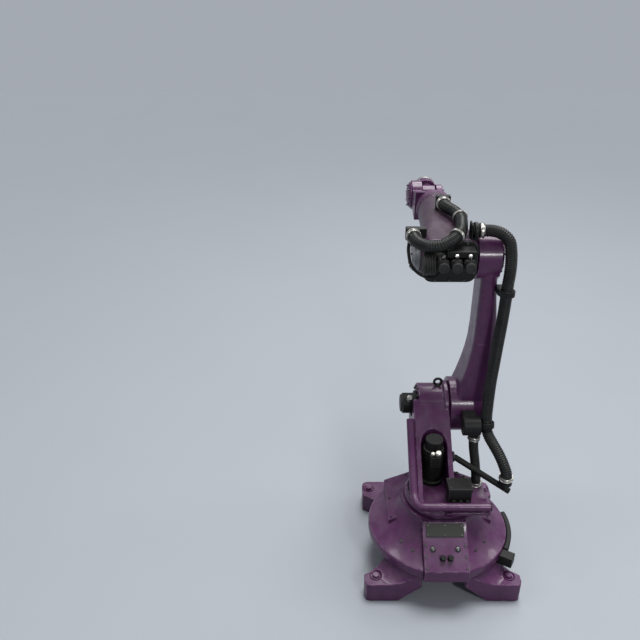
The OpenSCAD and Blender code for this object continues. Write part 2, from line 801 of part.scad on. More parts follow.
// The drive's cover is a shallow dome
dome_h = 24;
module wrist_drive_cover() {
  rim = drive_r - 8;
  color(purple) translate([-drive_x + 12, wrist_y, roll_z]) rotate([0, -90, 0]) rotate_extrude()
    polygon(concat([[0, 0], [rim, 0]], [for (i = [0:6]) [rim * cos(15 * i), 4 + dome_h * sin(15 * i)]]));
}

module wrist_bearing_cover() {
  color(purple) shaft_x(bearing_x - 10, bearing_x, wrist_y, roll_z, bearing_r - 8);
}

module wrist_hand() {
  inner = hand_half + gap;
  color(purple) difference() {
    union() {
      shaft_x(-hand_half, hand_half, wrist_y, roll_z, hand_r);
      shaft_x(-inner - 29, inner + 25, wrist_y, roll_z, bend_shaft_r);
      shaft_y(wrist_y, wrist_y + flange_l - 34, 0, roll_z, hand_half - 2);
      shaft_y(wrist_y + drive_r + 8, wrist_y + flange_l - 30, 0, roll_z, flange_r);
    }
    shaft_y(wrist_y + flange_l - 56, wrist_y + flange_l, 0, roll_z, turn_shaft_r + fit);
  }
}

module tool_flange() {
  front = wrist_y + flange_l;
  color(steel) difference() {
    union() {
      shaft_y(front - 25, front, 0, roll_z, flange_r);
      shaft_y(front - 55, front - 24, 0, roll_z, turn_shaft_r);
    }
    shaft_y(front - 8, front + 1, 0, roll_z, centring_r);
    for (i = [0:5])
      translate([0, 0, roll_z]) rotate([0, 60 * i, 0])
        shaft_y(front - 15, front + 1, flange_pcd / 2, 0, flange_hole_r);
  }
}

base_frame();
deck_panels();
connector_cover();
cover_plate();
cable_glands();
supply_duct();
supply_block();
column_casting();
guard_rail();
guard_rail_cap();
slew_motor();
shoulder_motor();
lifting_eye();
junction_box();
hose_bracket();
lower_arm();
shoulder_cap();
elbow_cap();
hose_clamp_low();
hose_clamp_top();
forearm_housing();
motor_plate();
roll_motor();
bend_motor();
turn_motor();
motor_connector();
elbow_motor();
elbow_drive();
hose_holder_rear();
hose_bulkhead();
hose_socket();
motor_cable();
wrist_fork();
wrist_drive_cover();
wrist_bearing_cover();
wrist_hand();
tool_flange();
hose_low();
feeder_hose();
hose_mid();
hose_top();
hose_loop();
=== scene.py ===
"""Studio scene of a floor-mounted six-axis robot arm with a corrugated hose pack.

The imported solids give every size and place. Each solid is copied, its edges are rounded and it gets a
paint, rubber, plastic or metal finish. Hoses, screws, plugs, seals and couplings are surfaces worked out
with numpy. All sizes are in metres, in the frame of the solids: +Z up, +Y the way the forearm points, +X
the lower arm's side.
"""

from __future__ import annotations

import json
import logging
import math
from dataclasses import dataclass, field
from enum import Enum
from itertools import product
from typing import Any, Iterable, Sequence

import bmesh
import bpy
import numpy as np
from mathutils import Matrix, Vector
from mathutils.bvhtree import BVHTree

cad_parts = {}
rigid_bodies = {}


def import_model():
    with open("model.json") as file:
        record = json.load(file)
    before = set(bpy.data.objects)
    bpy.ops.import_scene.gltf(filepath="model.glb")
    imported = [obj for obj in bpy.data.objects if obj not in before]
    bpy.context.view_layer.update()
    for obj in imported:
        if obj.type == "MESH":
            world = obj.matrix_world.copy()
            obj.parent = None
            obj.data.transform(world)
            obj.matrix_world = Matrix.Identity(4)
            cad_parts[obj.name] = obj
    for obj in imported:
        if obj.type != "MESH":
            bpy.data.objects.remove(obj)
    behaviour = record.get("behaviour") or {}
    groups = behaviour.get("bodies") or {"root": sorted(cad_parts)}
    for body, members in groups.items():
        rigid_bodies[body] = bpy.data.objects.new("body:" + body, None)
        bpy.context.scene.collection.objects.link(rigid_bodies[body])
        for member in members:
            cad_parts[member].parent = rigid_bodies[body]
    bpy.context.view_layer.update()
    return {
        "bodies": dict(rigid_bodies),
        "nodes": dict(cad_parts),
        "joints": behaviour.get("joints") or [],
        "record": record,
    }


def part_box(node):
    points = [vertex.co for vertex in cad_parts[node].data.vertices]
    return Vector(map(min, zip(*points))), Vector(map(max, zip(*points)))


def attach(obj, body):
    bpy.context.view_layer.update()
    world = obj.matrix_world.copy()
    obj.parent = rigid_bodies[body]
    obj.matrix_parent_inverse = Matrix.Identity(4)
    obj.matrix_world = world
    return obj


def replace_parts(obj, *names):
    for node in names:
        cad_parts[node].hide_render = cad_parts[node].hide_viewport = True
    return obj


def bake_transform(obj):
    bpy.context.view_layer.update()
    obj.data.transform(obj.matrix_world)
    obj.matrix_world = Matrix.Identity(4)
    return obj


log = logging.getLogger("robot_arm")
Pair = tuple[float, float]
Triple = tuple[float, float, float]
Colour = Triple
Profile = Sequence[Pair]
Material = bpy.types.Material
Piece = bpy.types.Object

RIGHT: Triple = (1.0, 0.0, 0.0)
LEFT: Triple = (-1.0, 0.0, 0.0)
AHEAD: Triple = (0.0, 1.0, 0.0)
BACK: Triple = (0.0, -1.0, 0.0)
UP: Triple = (0.0, 0.0, 1.0)
EVEN: Triple = (1.0, 1.0, 1.0)

MILLIMETRES = 1000.0  # to the metre
UPRIGHT = 0.8  # a direction with more Z than this is taken as upright
ROUTE_STEPS = 60  # steps to each point of a route, before they are made even
FEWEST_RINGS = 8  # on any route
SAME_POINT = 2e-6  # points of a worked-out surface that are nearer than this are one
WELD = 1e-5  # points of a solid that are nearer than this are one
FLAT = math.radians(1.0)  # faces that turn less than this become one
ROUNDED = math.radians(33.0)  # edges that turn further than this are rounded
ROUND_FACES = 3  # faces across a rounding
STRAY = 0.75  # a point further from its solid than this share of the rounding is a stray


class Slot(Enum):
    """The record's material slots."""

    PAINT = "purple_paint"
    MOTOR = "motor_black"
    HOSE = "hose_rubber"
    GREY = "grey_metal"
    STEEL = "bare_steel"
    PLASTIC = "black_plastic"


class Body(Enum):
    """The moving bodies of the arm, from the floor to the tool."""

    BASE = "base"
    COLUMN = "column"
    LOWER_ARM = "lower_arm"
    FOREARM = "forearm"
    WRIST_ROLL = "wrist_roll"
    WRIST_BEND = "wrist_bend"
    WRIST_TURN = "wrist_turn"


class Value:
    """A shader socket that can stand in sums; every operator adds one Math node."""

    def __init__(self, graph: Graph, socket: bpy.types.NodeSocket | None) -> None:
        """Keep the socket and the graph that new nodes go into."""
        self.graph = graph
        self.socket = socket

    def _math(self, operation: str, first: Any, second: Any = 0.0) -> Value:
        """One Math node on two operands, each a Value or a number."""
        return self.graph.node("ShaderNodeMath", {"operation": operation}, {0: first, 1: second})

    def __add__(self, other: Any) -> Value:
        """Sum."""
        return self._math("ADD", self, other)

    def __radd__(self, other: Any) -> Value:
        """Sum with a number on the left."""
        return self._math("ADD", other, self)

    def __sub__(self, other: Any) -> Value:
        """Difference."""
        return self._math("SUBTRACT", self, other)

    def __rsub__(self, other: Any) -> Value:
        """Difference from a number on the left."""
        return self._math("SUBTRACT", other, self)

    def __mul__(self, other: Any) -> Value:
        """Product."""
        return self._math("MULTIPLY", self, other)

    def __rmul__(self, other: Any) -> Value:
        """Product with a number on the left."""
        return self._math("MULTIPLY", other, self)

    def most(self, other: Any) -> Value:
        """The greater of two."""
        return self._math("MAXIMUM", self, other)

    def cosine(self) -> Value:
        """Cosine of an angle in radians."""
        return self._math("COSINE", self)

    def step(self, low: float, high: float) -> Value:
        """A smooth step from 0 at low to 1 at high.

        Args:
            low: The value that gives 0.
            high: The value that gives 1.

        Returns:
            The stepped value.
        """
        return self.graph.node("ShaderNodeMapRange", {"interpolation_type": "SMOOTHSTEP"},
                               {"Value": self, "From Min": low, "From Max": high})


class Graph:
    """The node tree of one new material or world."""

    fine_share = 0.55  # how much of a noise's finer waves show
    mix_share, mix_first, mix_second, mix_result = 0, 6, 7, 2  # a colour Mix's sockets, whose names repeat

    def __init__(self, name: str, world: bool = False) -> None:
        """Start an empty tree in a new material or a new world.

        Args:
            name: The name of the material or world.
            world: True for a world.
        """
        self.owner = (bpy.data.worlds if world else bpy.data.materials).new(name)
        self.owner.use_nodes = True
        self.tree = self.owner.node_tree
        self.tree.nodes.clear()

    def node(self, kind: str, settings: dict[str, Any] | None = None,
             inputs: dict[Any, Any] | None = None, out: Any = 0) -> Value:
        """Add one node of any type.

        Args:
            kind: The node's type name.
            settings: Its properties, which are set before the sockets.
            inputs: Sockets by name or number, each with a Value to link or a constant.
            out: The output to hand back, by name or number.

        Returns:
            The chosen output as a Value, which holds nothing for a closing node.
        """
        made = self.tree.nodes.new(kind)
        for key, setting in (settings or {}).items():
            setattr(made, key, setting)
        for key, given in (inputs or {}).items():
            socket = made.inputs[key]
            if isinstance(given, Value):
                self.tree.links.new(given.socket, socket)
            elif socket.type == "RGBA":
                socket.default_value = (*given, 1.0)
            else:
                socket.default_value = given
        return Value(self, made.outputs[out] if made.outputs else None)

    def noise(self, scale: float, detail: float = 2.0, stretch: Triple = EVEN) -> Value:
        """Cloudy noise on Object coordinates.

        Args:
            scale: Waves to the metre.
            detail: How many times finer waves are added.
            stretch: A share of the waves along each axis.

        Returns:
            The noise, from 0 to 1.
        """
        place = self.node("ShaderNodeTexCoord", out="Object")
        if stretch != EVEN:
            place = self.node("ShaderNodeMapping", None, {"Vector": place, "Scale": stretch})
        return self.node("ShaderNodeTexNoise", None, {"Vector": place, "Scale": scale, "Detail": detail,
                                                      "Roughness": self.fine_share})

    def facing_up(self) -> Value:
        """How far the surface faces up at rest, from -1 to 1."""
        normal = self.node("ShaderNodeTexCoord", out="Normal")
        return self.node("ShaderNodeSeparateXYZ", None, {0: normal}, out="Z")

    def mix(self, share: Any, first: Any, second: Any) -> Value:
        """A colour between two colours, by a share from 0 to 1."""
        inputs = {self.mix_share: share, self.mix_first: first, self.mix_second: second}
        return self.node("ShaderNodeMix", {"data_type": "RGBA"}, inputs, self.mix_result)

    def bump(self, height: Value, strength: float, distance: float, under: Value | None = None) -> Value:
        """A normal tilted by a height.

        Args:
            height: The height, from 0 to 1.
            strength: How much of the tilt is used.
            distance: What a height of 1 stands for, in metres.
            under: A bump that this one lies on.

        Returns:
            The tilted normal.
        """
        inputs: dict[Any, Any] = {"Height": height, "Strength": strength, "Distance": distance}
        if under is not None:
            inputs["Normal"] = under
        return self.node("ShaderNodeBump", None, inputs)

    def finish(self, inputs: dict[Any, Any]) -> Material:
        """Close the tree with one Principled shader.

        Args:
            inputs: The shader's sockets.

        Returns:
            The finished material.
        """
        shader = self.node("ShaderNodeBsdfPrincipled", None, inputs)
        self.node("ShaderNodeOutputMaterial", None, {"Surface": shader})
        return self.owner


@dataclass(frozen=True)
class Paint:
    """Plum machine paint on castings: soft gloss, fine peel, dust with a painted sheen on up-facing faces,
    grime in runs, rubbed edges.
    """

    name: str
    colour: Colour = (0.062, 0.0122, 0.058)
    tint: Colour = (0.104, 0.0255, 0.098)
    # dust colour, which on this paint also stands in for a painted sheen of top light
    dust: Colour = (0.190, 0.145, 0.186)
    grime: Colour = (0.024, 0.008, 0.023)
    rubbed: Colour = (0.210, 0.130, 0.205)
    wear: float = 0.0
    rough: float = 0.27
    top_lightening: float = 0.26
    coat: float = 0.22
    coat_rough: float = 0.12
    specular: float = 0.28

    def material(self) -> Material:
        """Lay clouds, mottle, runs, dust with a painted top sheen, chips and scratches over the paint.

        Returns:
            The finish as a node material.
        """
        graph = Graph(self.name)
        cloud = graph.noise(3.4, 3.0)
        runs = graph.noise(7.0, 4.0, (4.0, 4.0, 0.55)).step(0.50, 0.78) * 0.35
        patch = graph.noise(11.0, 6.0)
        # up-facing faces lightened with the dust colour: partly settled dust, partly a painted sheen of top
        # light
        lighter_on_top = graph.facing_up().step(0.25, 0.95) * patch.step(0.35, 0.75) * self.top_lightening
        mottle = graph.noise(19.0, 7.0).step(0.36, 0.72)
        handled = graph.noise(5.5, 2.0).step(0.46, 0.62)
        chips = graph.noise(120.0, 3.0).step(0.70, 0.74) * 0.3
        across = graph.noise(85.0, 2.0, (0.07, 1.0, 1.0)).step(0.67, 0.71)
        along = graph.noise(70.0, 2.0, (1.0, 0.09, 0.6)).step(0.68, 0.72)
        scratches = (across + along) * handled * 0.22
        colour = graph.mix(cloud, self.colour, self.tint)
        colour = graph.mix(mottle * 0.30, colour, self.grime)
        colour = graph.mix(runs, colour, self.grime)
        colour = graph.mix(lighter_on_top, colour, self.dust)
        colour = graph.mix(chips + scratches, colour, self.rubbed)
        rough = self.rough + cloud * 0.08 + mottle * 0.10 + lighter_on_top * 0.6 + runs * 0.15
        if self.wear:
            rub = graph.noise(34.0, 5.0).step(0.42, 0.66) * self.wear
            colour = graph.mix(rub, colour, self.rubbed)
            rough = rough + rub * 0.12
        swell = graph.bump(graph.noise(26.0, 2.0), 0.16, 0.0012)
        peel = graph.bump(graph.noise(520.0, 2.0), 0.10, 0.0004, swell)
        return graph.finish({"Base Color": colour, "Roughness": rough, "Normal": peel,
                             "Coat Weight": self.coat, "Coat Roughness": self.coat_rough,
                             "Specular IOR Level": self.specular})


@dataclass(frozen=True)
class DarkCoat:
    """Thin dark coat on cast aluminium, as on motors and brackets: grainy, matt, a little dusty."""

    name: str
    colour: Colour = (0.0065, 0.0065, 0.0060)
    tint: Colour = (0.0125, 0.0125, 0.0116)
    dust: Colour = (0.055, 0.054, 0.050)
    rough: float = 0.44
    grain: float = 0.30
    top_lightening: float = 0.12
    specular: float = 0.19

    def material(self) -> Material:
        """Lay dust on up-facing faces and a cast grain over the clouded coat.

        Returns:
            The finish as a node material.
        """
        graph = Graph(self.name)
        cloud = graph.noise(9.0, 4.0)
        patch = graph.noise(42.0, 5.0)
        lighter_on_top = graph.facing_up().step(0.1, 0.95) * patch.step(0.34, 0.78) * self.top_lightening
        colour = graph.mix(lighter_on_top, graph.mix(cloud, self.colour, self.tint), self.dust)
        rough = self.rough + cloud * 0.14 + lighter_on_top * 0.4
        grain = graph.bump(graph.noise(430.0, 4.0), self.grain, 0.0006)
        return graph.finish({"Base Color": colour, "Roughness": rough, "Normal": grain,
                             "Specular IOR Level": self.specular})


@dataclass(frozen=True)
class HoseSkin:
    """Black corrugated hose: satin crests, dust in the valleys, scuffs along its run."""

    name: str
    colour: Colour = (0.006, 0.0062, 0.006)
    crest: Colour = (0.013, 0.0134, 0.013)
    dust: Colour = (0.040, 0.040, 0.037)
    rough: float = 0.36
    specular: float = 0.26

    def material(self) -> Material:
        """Scuff the crests and dust the valleys; the first UV counts the corrugations.

        Returns:
            The finish as a node material.
        """
        graph = Graph(self.name)
        run = graph.node("ShaderNodeUVMap", {"uv_map": "run"})
        along = graph.node("ShaderNodeSeparateXYZ", None, {0: run}, out="X")
        crest = 0.5 + 0.5 * (along * (2.0 * math.pi)).cosine()
        scuff = graph.noise(30.0, 4.0).step(0.50, 0.72)
        dusty = (1.0 - crest) * graph.noise(12.0, 3.0).step(0.30, 0.70) * 0.55
        colour = graph.mix(crest * scuff, self.colour, self.crest)
        colour = graph.mix(dusty, colour, self.dust)
        rough = self.rough + scuff * 0.12 + dusty * 0.4
        grain = graph.bump(graph.noise(300.0, 3.0), 0.12, 0.0004)
        return graph.finish({"Base Color": colour, "Roughness": rough, "Normal": grain,
                             "Specular IOR Level": self.specular})


@dataclass(frozen=True)
class Metal:
    """Bare or plated metal with fine turning marks and finger grease."""

    name: str
    colour: Colour = (0.52, 0.52, 0.51)
    stain: Colour = (0.30, 0.29, 0.27)
    rough: float = 0.28

    def material(self) -> Material:
        """Stain the metal and draw fine stretched marks on it.

        Returns:
            The finish as a node material.
        """
        graph = Graph(self.name)
        stain = graph.noise(40.0, 5.0).step(0.40, 0.75)
        marks = graph.noise(700.0, 2.0, (1.0, 0.06, 1.0))
        colour = graph.mix(stain, self.colour, self.stain)
        rough = self.rough + stain * 0.18 + marks * 0.08
        return graph.finish({"Base Color": colour, "Metallic": 1.0, "Roughness": rough,
                             "Normal": graph.bump(marks, 0.12, 0.0003)})


FINISHES: dict[str, Paint | DarkCoat | HoseSkin | Metal] = {
    "paint": Paint("plum_paint"),
    "paint_edge": Paint("plum_paint_edge", wear=0.55, rough=0.30),
    # the forearm housing's paint, greyer where it faces up: settled dust with a painted sheen
    "paint_dusty": Paint("plum_paint_dusty", colour=(0.037, 0.014, 0.033), tint=(0.056, 0.026, 0.051),
                         dust=(0.062, 0.058, 0.058), rough=0.48, top_lightening=0.50),
    "motor": DarkCoat("motor_coat"),
    # a lighter coat for motor edges and end rings: a painted edge highlight
    "motor_painted_highlight": DarkCoat("motor_coat_painted_highlight", colour=(0.018, 0.018, 0.017), tint=(0.042, 0.042, 0.040)),
    "hose": HoseSkin("hose_skin"),
    "plate": DarkCoat("plate_grey", colour=(0.030, 0.032, 0.027), tint=(0.042, 0.044, 0.037),
                      rough=0.38, grain=0.12),
    "drive": DarkCoat("drive_grey", colour=(0.300, 0.310, 0.325), tint=(0.400, 0.410, 0.425),
                      dust=(0.36, 0.36, 0.35), rough=0.36, grain=0.16),
    "steel": Metal("turned_steel"),
    "screw": Metal("blackened_screw", colour=(0.10, 0.10, 0.10), stain=(0.05, 0.05, 0.048), rough=0.34),
    "brass": Metal("plated_fitting", colour=(0.46, 0.45, 0.42), stain=(0.24, 0.23, 0.20), rough=0.30),
    "plastic": DarkCoat("moulded_black", colour=(0.008, 0.008, 0.008), tint=(0.013, 0.013, 0.0125),
                        rough=0.40, grain=0.14),
    "seal": DarkCoat("seal_rubber", colour=(0.010, 0.010, 0.010), tint=(0.014, 0.014, 0.014),
                     rough=0.6, grain=0.1),
}


@dataclass(frozen=True)
class Finishes:
    """One material of each finish, made once."""

    paint: Material
    paint_edge: Material
    paint_dusty: Material
    motor: Material
    motor_painted_highlight: Material
    hose: Material
    plate: Material
    drive: Material
    steel: Material
    screw: Material
    brass: Material
    plastic: Material
    seal: Material

    @classmethod
    def make(cls) -> Finishes:
        """Make every material of the arm."""
        return cls(**{name: finish.material() for name, finish in FINISHES.items()})


def unit(vectors: np.ndarray) -> np.ndarray:
    """Each vector divided by its length."""
    vectors = np.asarray(vectors, float)
    return vectors / np.linalg.norm(vectors, axis=-1, keepdims=True)


def square_to(axes: np.ndarray) -> tuple[np.ndarray, np.ndarray]:
    """Two directions square to each axis and to each other.

    Args:
        axes: Unit vectors, in rows.

    Returns:
        Sides and ups, so that side, up and axis are right-handed.
    """
    axes = np.atleast_2d(axes)
    spare = np.where(np.abs(axes[:, 2:3]) < UPRIGHT, UP, RIGHT)
    sides = unit(np.cross(spare, axes))
    return sides, np.cross(axes, sides)


def both_sides(rows: Sequence[Triple] | np.ndarray) -> np.ndarray:
    """Places or directions in rows, followed by their mirror images in X."""
    rows = np.asarray(rows, float)
    return np.concatenate([rows, rows * (-1.0, 1.0, 1.0)])


def add_object(name: str, data: bpy.types.ID) -> Piece:
    """Put a new object with these data into the scene.

    Args:
        name: Its name.
        data: Its mesh, camera or light.

    Returns:
        The object, at the origin.
    """
    made = bpy.data.objects.new(name, data)
    bpy.context.scene.collection.objects.link(made)
    return made


def grid_quads(rows: int, cols: int) -> np.ndarray:
    """Number the corners of the quads of a grid that closes on itself along its columns.

    Args:
        rows: Rings of the grid.
        cols: Points round a ring.

    Returns:
        Four corner numbers a row.
    """
    row, col = np.meshgrid(np.arange(rows - 1), np.arange(cols), indexing="ij")
    beside = (col + 1) % cols
    quads = [row * cols + col, row * cols + beside, (row + 1) * cols + beside, (row + 1) * cols + col]
    return np.stack(quads, axis=-1).reshape(-1, 4)


def new_piece(name: str, points: np.ndarray, quads: np.ndarray, material: Material,
              runs: np.ndarray | None = None, sharp: float = 34.0) -> Piece:
    """Put worked-out points and quads into one mesh object at the origin.

    Args:
        name: The piece's name.
        points: All points, in rows.
        quads: Four corner numbers a row.
        material: The finish.
        runs: The pair that each quad corner gets in the UV map "run", shaped (quads, 4, 2).
        sharp: The angle in degrees past which an edge stays sharp.

    Returns:
        The new object, with its poles closed and its faces turned outwards.
    """
    mesh = bpy.data.meshes.new(name)
    mesh.from_pydata(points.reshape(-1, 3).tolist(), [], quads.tolist())
    if runs is not None:
        mesh.uv_layers.new(name="run").data.foreach_set("uv", runs.astype(np.float32).ravel())
    shell = bmesh.new()
    shell.from_mesh(mesh)
    bmesh.ops.remove_doubles(shell, verts=shell.verts, dist=SAME_POINT)
    bmesh.ops.recalc_face_normals(shell, faces=shell.faces)
    shell.to_mesh(mesh)
    shell.free()
    mesh.materials.append(material)
    mesh.shade_smooth()
    mesh.set_sharp_from_angle(angle=math.radians(sharp))
    piece = add_object(name, mesh)
    log.info("piece %s: %d faces", name, len(mesh.polygons))
    return piece


def lathed(name: str, profile: Profile, places: Any, axes: Any, material: Material, sides: int,
           teeth: int = 0, tooth: float = 0.0) -> Piece:
    """The same turned shape at many places, in one mesh.

    A point of the shape is place + r (cos a side + sin a up) + z axis, for each (r, z) of the profile and
    each angle a; with teeth, r grows by a share of itself wherever a cosine of the angle is positive.

    Args:
        name: The piece's name.
        profile: Radius and height along the axis, from the foot to the top.
        places: Where each copy's foot is, in rows, or one place.
        axes: The way each copy points, in rows, or one for all.
        material: The finish.
        sides: Points round the axis.
        teeth: Number of knurls round the axis.
        tooth: How far a knurl stands out, as a share of the radius.

    Returns:
        The new object.
    """
    places = np.atleast_2d(np.asarray(places, float))
    axes = unit(np.broadcast_to(np.atleast_2d(np.asarray(axes, float)), places.shape))
    side, up = square_to(axes)
    radius, height = np.array(profile, float).T
    angle = np.arange(sides) * 2.0 * np.pi / sides
    swell = 1.0 + tooth * (np.cos(teeth * angle) > 0.0) if teeth else np.ones(sides)
    ring = np.cos(angle)[:, None] * side[:, None, :] + np.sin(angle)[:, None] * up[:, None, :]
    points = (places[:, None, None, :] + (radius[:, None] * swell)[None, :, :, None] * ring[:, None, :, :]
              + height[None, :, None, None] * axes[:, None, None, :])
    one = grid_quads(len(radius), sides)
    quads = one[None] + (np.arange(len(places)) * len(radius) * sides)[:, None, None]
    return new_piece(name, points, quads.reshape(-1, 4), material)


# Outlines of a cap screw's head with its socket and of a plug with its nut, neck and collar, in shares of a
# radius and a height, and of one end of a coupling ring, in metres past the hose's radius and along it.
SCREW_OUTLINE: Profile = ((1.0, 0.0), (1.0, 0.8), (0.84, 1.0), (0.5, 1.0), (0.46, 0.45), (0.0, 0.45))
PLUG_OUTLINE: Profile = ((0.0, 0.0), (1.0, 0.0), (1.0, 0.08), (0.86, 0.12), (0.86, 0.3), (1.0, 0.34),
                         (1.0, 0.74), (0.92, 0.8), (0.7, 0.82), (0.7, 1.0), (0.0, 1.0))
COUPLING_END: Profile = ((0.0003, 0.0), (0.006, 0.0), (0.0075, 0.002), (0.006, 0.004), (0.004, 0.005))


def scaled(outline: Profile, radius: float, height: float) -> Profile:
    """An outline given in shares, at a radius and a height."""
    return [(share * radius, rise * height) for share, rise in outline]


def ring_of(centre: Triple, axis: Triple, radius: float, count: int, start: float = 0.0) -> np.ndarray:
    """Places evenly round a circle.

    Args:
        centre: The circle's middle.
        axis: The direction square to the circle.
        radius: Its radius.
        count: How many places.
        start: Angle of the first, in degrees.

    Returns:
        The places, in rows.
    """
    side, up = square_to(unit(np.array([axis])))
    angle = np.radians(start) + np.arange(count)[:, None] * 2.0 * np.pi / count
    return np.array(centre) + radius * (np.cos(angle) * side + np.sin(angle) * up)


def smooth_path(points: Any, spacing: float) -> tuple[np.ndarray, np.ndarray, np.ndarray]:
    """An even path on a smooth curve through given points.

    Between two points the curve is a cubic with the slopes of the chords on both sides, and it is then read
    off at even steps of its length.

    Args:
        points: The points that it passes through, in rows.
        spacing: The step along it.

    Returns:
        Places, headings and distances from the start.
    """
    points = np.asarray(points, float)
    chord = np.concatenate([[0.0], np.cumsum(np.linalg.norm(np.diff(points, axis=0), axis=1))])
    slope = np.gradient(points, chord, axis=0)
    fine = np.linspace(0.0, chord[-1], ROUTE_STEPS * len(points))
    k = np.clip(np.searchsorted(chord, fine, side="right") - 1, 0, len(points) - 2)
    span = (chord[k + 1] - chord[k])[:, None]
    t = (fine - chord[k])[:, None] / span
    curve = ((2 * t**3 - 3 * t**2 + 1) * points[k] + (t**3 - 2 * t**2 + t) * span * slope[k]
             + (3 * t**2 - 2 * t**3) * points[k + 1] + (t**3 - t**2) * span * slope[k + 1])
    length = np.concatenate([[0.0], np.cumsum(np.linalg.norm(np.diff(curve, axis=0), axis=1))])
    run = np.linspace(0.0, length[-1], max(FEWEST_RINGS, int(round(length[-1] / spacing)) + 1))
    path = np.stack([np.interp(run, length, curve[:, c]) for c in range(3)], axis=1)
    return path, unit(np.gradient(path, run, axis=0)), run


@dataclass(frozen=True)
class HoseSize:
    """Outer radius of a hose, pitch and depth of its corrugations, if any, and points round it."""

    radius: float
    pitch: float = 0.0
    depth: float = 0.0
    sides: int = 20

    @property
    def spacing(self) -> float:
        """Distance between rings: six to a corrugation, or closer than a radius on a smooth hose."""
        return self.pitch / 6.0 if self.pitch else self.radius * 0.8


def tube(name: str, points: Sequence[Triple], size: HoseSize, material: Material, spare: Triple) -> Piece:
    """A closed round tube along a smooth path, with corrugations if its size has a pitch.

    The radius at distance s is radius - depth (1 - cos(2 pi s / pitch)) / 2.

    Args:
        name: The piece's name.
        points: The route.
        size: Its radius and corrugations.
        material: The finish.
        spare: A direction that the route never runs along, which turns the rings.

    Returns:
        The new object, with distance in corrugations and angle in its UV map "run".
    """
    path, heading, run = smooth_path(points, size.spacing)
    waves = run / (size.pitch or size.radius)
    girth = size.radius - 0.5 * size.depth * (1.0 - np.cos(2.0 * np.pi * waves))
    path = np.concatenate([path[:1], path, path[-1:]])
    heading = np.concatenate([heading[:1], heading, heading[-1:]])
    girth = np.concatenate([[0.0], girth, [0.0]])
    waves = np.concatenate([waves[:1], waves, waves[-1:]])
    side = unit(np.cross(np.array(spare), heading))
    up = np.cross(heading, side)
    angle = np.arange(size.sides) * 2.0 * np.pi / size.sides
    ring = np.cos(angle)[:, None] * side[:, None, :] + np.sin(angle)[:, None] * up[:, None, :]
    points_all = path[:, None, :] + girth[:, None, None] * ring
    row, col = np.meshgrid(np.arange(len(path) - 1), np.arange(size.sides), indexing="ij")
    low, high = waves[row], waves[row + 1]
    left, right = col / size.sides, (col + 1) / size.sides
    runs = np.stack([np.stack([low, left], -1), np.stack([low, right], -1),
                     np.stack([high, right], -1), np.stack([high, left], -1)], axis=2)
    quads = grid_quads(len(path), size.sides)
    return new_piece(name, points_all, quads, material, runs.reshape(-1, 4, 2), sharp=60.0)


